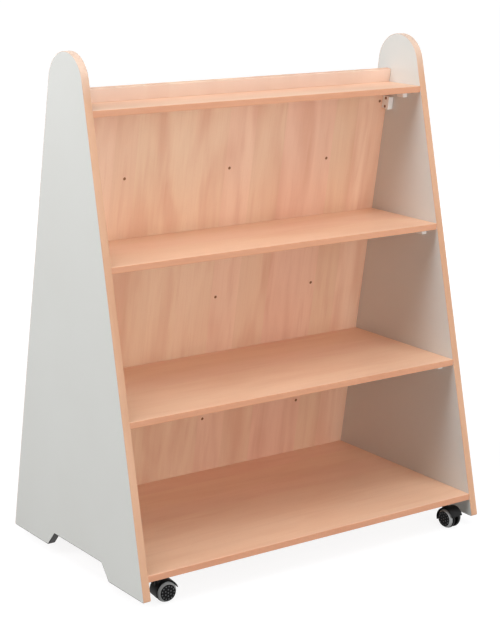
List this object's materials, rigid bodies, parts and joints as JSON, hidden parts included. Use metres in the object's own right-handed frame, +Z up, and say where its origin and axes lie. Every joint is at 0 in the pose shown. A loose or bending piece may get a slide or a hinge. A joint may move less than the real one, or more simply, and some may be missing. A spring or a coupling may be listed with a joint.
{
  "type": "mobile bookshelf",
  "caption": "Mobile bookshelf with grey A-shaped side panels, beech shelves on a leaning back panel, display ledges behind it and twin-wheel castors.",
  "frame": {"origin": "on the floor, below the middle of the bounding box", "axes": "+X along the shelves to the right seen from the front, the open front faces -Y, +Z up"},
  "size_m": [1, 0.5963, 1.2238],
  "materials": {
    "grey_melamine_board": "light grey melamine-faced chipboard, fine matt grain",
    "beech_melamine_board": "beech decor on chipboard, satin",
    "beech_edge_band": "beech decor edge band, satin",
    "dark_base_edging": "near-black edging, matt",
    "white_plastic_block": "white moulded plastic",
    "bronzed_screw_steel": "bronzed steel",
    "zinc_plated_steel": "bright zinc plate",
    "black_castor_nylon": "black moulded nylon",
    "grey_castor_wheel": "dark grey soft tread with a black hub cap"
  },
  "bodies": {
    "carcass": {"back_panel": "beech_melamine_board", "base_shelf": "beech_melamine_board", "front_left_castor_plate": "zinc_plated_steel", "front_right_castor_plate": "zinc_plated_steel", "ledge_screw_1": "bronzed_screw_steel", "ledge_screw_2": "bronzed_screw_steel", "ledge_screw_3": "bronzed_screw_steel", "ledge_screw_4": "bronzed_screw_steel", "ledge_screw_5": "bronzed_screw_steel", "ledge_screw_6": "bronzed_screw_steel", "ledge_screw_7": "bronzed_screw_steel", "ledge_screw_8": "bronzed_screw_steel", "ledge_screw_9": "bronzed_screw_steel", "left_back_screw": "bronzed_screw_steel", "left_base_edging": "dark_base_edging", "left_base_shelf_block": "white_plastic_block", "left_corner_block": "white_plastic_block", "left_corner_screw_1": "bronzed_screw_steel", "left_corner_screw_2": "bronzed_screw_steel", "left_edge_band": "beech_edge_band", "left_lower_shelf_block": "white_plastic_block", "left_side_panel": "grey_melamine_board", "left_top_shelf_block": "white_plastic_block", "left_upper_shelf_block": "white_plastic_block", "lower_display_ledge": "beech_melamine_board", "lower_shelf": "beech_melamine_board", "middle_display_ledge": "beech_melamine_board", "rear_left_castor_plate": "zinc_plated_steel", "rear_right_castor_plate": "zinc_plated_steel", "right_back_screw": "bronzed_screw_steel", "right_base_edging": "dark_base_edging", "right_base_shelf_block": "white_plastic_block", "right_corner_block": "white_plastic_block", "right_corner_screw_1": "bronzed_screw_steel", "right_corner_screw_2": "bronzed_screw_steel", "right_edge_band": "beech_edge_band", "right_lower_shelf_block": "white_plastic_block", "right_side_panel": "grey_melamine_board", "right_top_shelf_block": "white_plastic_block", "right_upper_shelf_block": "white_plastic_block", "top_shelf": "beech_melamine_board", "upper_display_ledge": "beech_melamine_board", "upper_shelf": "beech_melamine_board"},
    "front_left_castor_fork": {"front_left_castor_hood": "black_castor_nylon", "front_left_castor_axle": "zinc_plated_steel"},
    "front_left_castor_roller_1": {"front_left_castor_wheel_1": "grey_castor_wheel"},
    "front_left_castor_roller_2": {"front_left_castor_wheel_2": "grey_castor_wheel"},
    "front_right_castor_fork": {"front_right_castor_hood": "black_castor_nylon", "front_right_castor_axle": "zinc_plated_steel"},
    "front_right_castor_roller_1": {"front_right_castor_wheel_1": "grey_castor_wheel"},
    "front_right_castor_roller_2": {"front_right_castor_wheel_2": "grey_castor_wheel"},
    "rear_left_castor_fork": {"rear_left_castor_hood": "black_castor_nylon", "rear_left_castor_axle": "zinc_plated_steel"},
    "rear_left_castor_roller_1": {"rear_left_castor_wheel_1": "grey_castor_wheel"},
    "rear_left_castor_roller_2": {"rear_left_castor_wheel_2": "grey_castor_wheel"},
    "rear_right_castor_fork": {"rear_right_castor_hood": "black_castor_nylon", "rear_right_castor_axle": "zinc_plated_steel"},
    "rear_right_castor_roller_1": {"rear_right_castor_wheel_1": "grey_castor_wheel"},
    "rear_right_castor_roller_2": {"rear_right_castor_wheel_2": "grey_castor_wheel"}
  },
  "joints": [
    {"name": "front_left_castor_swivel", "type": "hinge", "parent": "carcass", "child": "front_left_castor_fork", "pos_m": [-0.43283, -0.2506, 0.064], "axis": [0, 0, 1], "continuous": true},
    {"name": "front_left_castor_roll_1", "type": "hinge", "parent": "front_left_castor_fork", "child": "front_left_castor_roller_1", "pos_m": [-0.41692, -0.25228, 0.025], "axis": [0.1045, 0.9945, 0], "continuous": true},
    {"name": "front_left_castor_roll_2", "type": "hinge", "parent": "front_left_castor_fork", "child": "front_left_castor_roller_2", "pos_m": [-0.41692, -0.25228, 0.025], "axis": [0.1045, 0.9945, 0], "continuous": true},
    {"name": "front_right_castor_swivel", "type": "hinge", "parent": "carcass", "child": "front_right_castor_fork", "pos_m": [0.43283, -0.2506, 0.064], "axis": [0, 0, 1], "continuous": true},
    {"name": "front_right_castor_roll_1", "type": "hinge", "parent": "front_right_castor_fork", "child": "front_right_castor_roller_1", "pos_m": [0.43422, -0.26654, 0.025], "axis": [0.9962, 0.0872, 0], "continuous": true},
    {"name": "front_right_castor_roll_2", "type": "hinge", "parent": "front_right_castor_fork", "child": "front_right_castor_roller_2", "pos_m": [0.43422, -0.26654, 0.025], "axis": [0.9962, 0.0872, 0], "continuous": true},
    {"name": "rear_left_castor_swivel", "type": "hinge", "parent": "carcass", "child": "rear_left_castor_fork", "pos_m": [-0.43283, 0.25421, 0.064], "axis": [0, 0, 1], "continuous": true},
    {"name": "rear_left_castor_roll_1", "type": "hinge", "parent": "rear_left_castor_fork", "child": "rear_left_castor_roller_1", "pos_m": [-0.41692, 0.25254, 0.025], "axis": [0.1045, 0.9945, 0], "continuous": true},
    {"name": "rear_left_castor_roll_2", "type": "hinge", "parent": "rear_left_castor_fork", "child": "rear_left_castor_roller_2", "pos_m": [-0.41692, 0.25254, 0.025], "axis": [0.1045, 0.9945, 0], "continuous": true},
    {"name": "rear_right_castor_swivel", "type": "hinge", "parent": "carcass", "child": "rear_right_castor_fork", "pos_m": [0.43283, 0.25421, 0.064], "axis": [0, 0, 1], "continuous": true},
    {"name": "rear_right_castor_roll_1", "type": "hinge", "parent": "rear_right_castor_fork", "child": "rear_right_castor_roller_1", "pos_m": [0.43422, 0.23827, 0.025], "axis": [0.9962, 0.0872, 0], "continuous": true},
    {"name": "rear_right_castor_roll_2", "type": "hinge", "parent": "rear_right_castor_fork", "child": "rear_right_castor_roller_2", "pos_m": [0.43422, 0.23827, 0.025], "axis": [0.9962, 0.0872, 0], "continuous": true}
  ]
}
